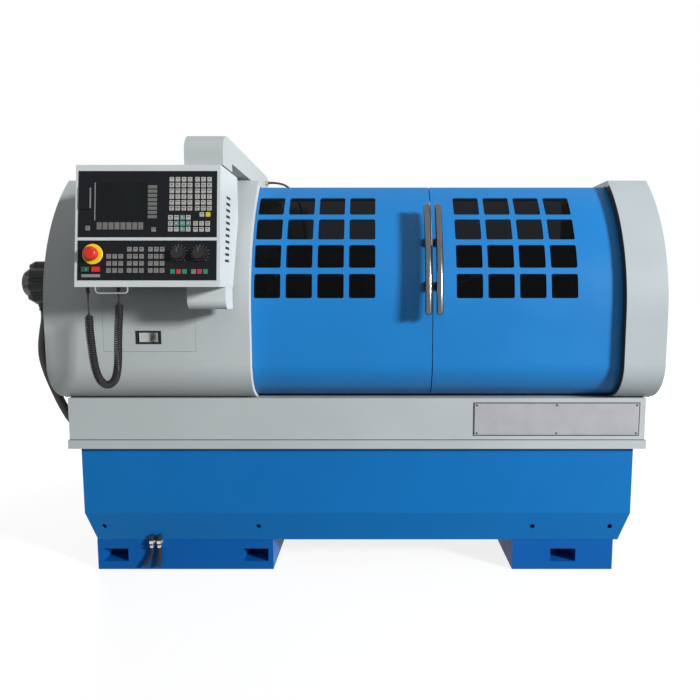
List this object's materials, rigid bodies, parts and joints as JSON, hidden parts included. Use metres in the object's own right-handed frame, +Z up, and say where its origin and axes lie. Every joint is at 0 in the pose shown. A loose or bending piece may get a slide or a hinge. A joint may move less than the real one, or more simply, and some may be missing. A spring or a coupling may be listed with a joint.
{
  "type": "cnc turning lathe",
  "caption": "Flat-bed turning lathe in a curved sheet-metal enclosure with sliding windowed doors, swivelling control panel, chuck, carriage and tailstock.",
  "frame": {"origin": "on the floor below the middle of the machine's bounding box, without its free cords", "axes": "+X to the right along the bed as the operator sees it, +Y to the back, +Z up"},
  "size_m": [2.357, 1.1625, 1.535],
  "materials": {
    "blue_paint_base": "semi-gloss blue enamel",
    "grey_paint": "fine orange-peel grey enamel",
    "blue_paint_door": "semi-gloss blue enamel",
    "panel_paint": "fine textured pale grey enamel",
    "cast_iron": "ground and scraped ways, painted flanks",
    "steel": "turned and ground steel",
    "chrome": "polished steel",
    "black_moulding": "black moulding with a fine grain",
    "black_rubber": "matt black rubber",
    "motor_paint": "satin dark paint",
    "window_acrylic": "dark tinted acrylic",
    "fascia_film": "satin membrane film",
    "screen_glass": "dark glossy glass",
    "key_film": "embossed membrane keys",
    "red_plastic": "glossy red plastic",
    "green_plastic": "glossy green plastic"
  },
  "bodies": {
    "machine": {"left_foot": "blue_paint_base", "right_foot": "blue_paint_base", "base_tray": "blue_paint_base", "skirt": "grey_paint", "pedestals": "cast_iron", "bed": "cast_iron", "headstock": "grey_paint", "headstock_cover": "grey_paint", "end_cap": "grey_paint", "rear_guard": "grey_paint", "door_rails": "steel", "spindle_guard": "black_moulding", "hose_fittings": "black_moulding", "drain_hose": "black_rubber", "drain_tail_a": "black_rubber", "drain_tail_b": "black_rubber", "main_motor": "motor_paint", "belt": "black_rubber", "cabinet": "grey_paint", "arm": "grey_paint", "light_cable": "black_rubber", "z_motor": "motor_paint"},
    "cabinet_door": {"cabinet_door": "grey_paint"},
    "z_screw": {"z_screw": "steel"},
    "panel": {"panel_box": "panel_paint", "display_fascia": "fascia_film", "screen": "screen_glass", "machine_fascia": "fascia_film", "display_keys": "key_film", "machine_keys": "key_film", "panel_handle": "chrome", "lower_box": "panel_paint", "cord_glands": "black_moulding", "pendant_lead": "black_rubber", "pendant_coil": "black_rubber"},
    "estop": {"estop_button": "red_plastic"},
    "start": {"start_button": "green_plastic"},
    "stop": {"stop_button": "red_plastic"},
    "feed_dial": {"feed_knob": "black_moulding"},
    "speed_dial": {"speed_knob": "black_moulding"},
    "left_door": {"left_door": "blue_paint_door", "left_window": "window_acrylic", "left_handle": "chrome"},
    "right_door": {"right_door": "blue_paint_door", "right_window": "window_acrylic", "right_handle": "chrome"},
    "spindle": {"spindle": "steel", "chuck": "steel"},
    "jaw_1": {"jaw_1": "steel"},
    "jaw_2": {"jaw_2": "steel"},
    "jaw_3": {"jaw_3": "steel"},
    "motor_pulley": {"motor_pulley": "steel"},
    "carriage": {"saddle": "cast_iron"},
    "cross_slide": {"cross_slide": "cast_iron"},
    "turret": {"turret": "motor_paint"},
    "tailstock": {"tailstock": "grey_paint"},
    "quill": {"quill": "steel"},
    "handwheel": {"handwheel": "motor_paint"},
    "flap": {"access_flap": "grey_paint", "flap_latch": "chrome"}
  },
  "joints": [
    {"name": "left_door_slide", "type": "slide", "parent": "machine", "child": "left_door", "axis": [1, 0, 0], "range_m": [-0.5, 0]},
    {"name": "right_door_slide", "type": "slide", "parent": "machine", "child": "right_door", "axis": [1, 0, 0], "range_m": [0, 0.125]},
    {"name": "panel_swivel", "type": "hinge", "parent": "machine", "child": "panel", "pos_m": [-0.3455, -0.42213, 1.43], "axis": [0, 0, 1], "range_deg": [0, 80]},
    {"name": "estop_push", "type": "slide", "parent": "panel", "child": "estop", "axis": [0, 0.9909, -0.1343], "range_m": [0, 0.005]},
    {"name": "start_push", "type": "slide", "parent": "panel", "child": "start", "axis": [0, 0.9909, -0.1343], "range_m": [0, 0.004], "stiffness_N_per_m": 800},
    {"name": "stop_push", "type": "slide", "parent": "panel", "child": "stop", "axis": [0, 0.9909, -0.1343], "range_m": [0, 0.004], "stiffness_N_per_m": 800},
    {"name": "feed_turn", "type": "hinge", "parent": "panel", "child": "feed_dial", "pos_m": [-0.41, -0.54971, 1.16009], "axis": [0, -0.9909, 0.1343], "range_deg": [-135, 135]},
    {"name": "speed_turn", "type": "hinge", "parent": "panel", "child": "speed_dial", "pos_m": [-0.3457, -0.54971, 1.16009], "axis": [0, -0.9909, 0.1343], "range_deg": [-135, 135]},
    {"name": "spindle_spin", "type": "hinge", "parent": "machine", "child": "spindle", "pos_m": [-0.3015, -0.00813, 1.074], "axis": [1, 0, 0], "continuous": true},
    {"name": "jaw_1_slide", "type": "slide", "parent": "spindle", "child": "jaw_1", "axis": [0, 0, 1], "range_m": [-0.006, 0.006]},
    {"name": "jaw_2_slide", "type": "slide", "parent": "spindle", "child": "jaw_2", "axis": [0, -0.866, -0.5], "range_m": [-0.006, 0.006]},
    {"name": "jaw_3_slide", "type": "slide", "parent": "spindle", "child": "jaw_3", "axis": [0, 0.866, -0.5], "range_m": [-0.006, 0.006]},
    {"name": "motor_spin", "type": "hinge", "parent": "machine", "child": "motor_pulley", "pos_m": [-0.8115, 0.28187, 0.3], "axis": [1, 0, 0], "continuous": true},
    {"name": "screw_turn", "type": "hinge", "parent": "machine", "child": "z_screw", "pos_m": [0.1185, -0.13813, 0.8], "axis": [1, 0, 0], "range_deg": [-6001, 10801]},
    {"name": "carriage_slide", "type": "slide", "parent": "machine", "child": "carriage", "axis": [1, 0, 0], "range_m": [-0.1, 0.18]},
    {"name": "cross_travel", "type": "slide", "parent": "carriage", "child": "cross_slide", "axis": [0, 1, 0], "range_m": [-0.025, 0.005]},
    {"name": "turret_index", "type": "hinge", "parent": "cross_slide", "child": "turret", "pos_m": [0.0685, -0.13313, 1], "axis": [0, 0, 1], "continuous": true},
    {"name": "tailstock_slide", "type": "slide", "parent": "machine", "child": "tailstock", "axis": [1, 0, 0], "range_m": [0, 0.12]},
    {"name": "handwheel_turn", "type": "hinge", "parent": "tailstock", "child": "handwheel", "pos_m": [0.9025, -0.00813, 1.074], "axis": [1, 0, 0], "range_deg": [0, 5760]},
    {"name": "quill_slide", "type": "slide", "parent": "tailstock", "child": "quill", "axis": [1, 0, 0], "range_m": [-0.08, 0]},
    {"name": "flap_hinge", "type": "hinge", "parent": "machine", "child": "flap", "pos_m": [-0.585, -0.33715, 1.08], "axis": [-1, 0, 0], "range_deg": [0, 28]},
    {"name": "cabinet_hinge", "type": "hinge", "parent": "machine", "child": "cabinet_door", "pos_m": [-0.8885, 0.55702, 0.97], "axis": [0, 0, 1], "range_deg": [0, 110]}
  ],
  "couplings": [
    {"joint": "jaw_2_slide", "follows": "jaw_1_slide", "ratio": 1},
    {"joint": "jaw_3_slide", "follows": "jaw_1_slide", "ratio": 1},
    {"joint": "motor_spin", "follows": "spindle_spin", "ratio": 1.4286},
    {"joint": "screw_turn", "follows": "carriage_slide", "rad_per_m": 1047.2},
    {"joint": "quill_slide", "follows": "handwheel_turn", "m_per_rad": -0.00079577}
  ]
}
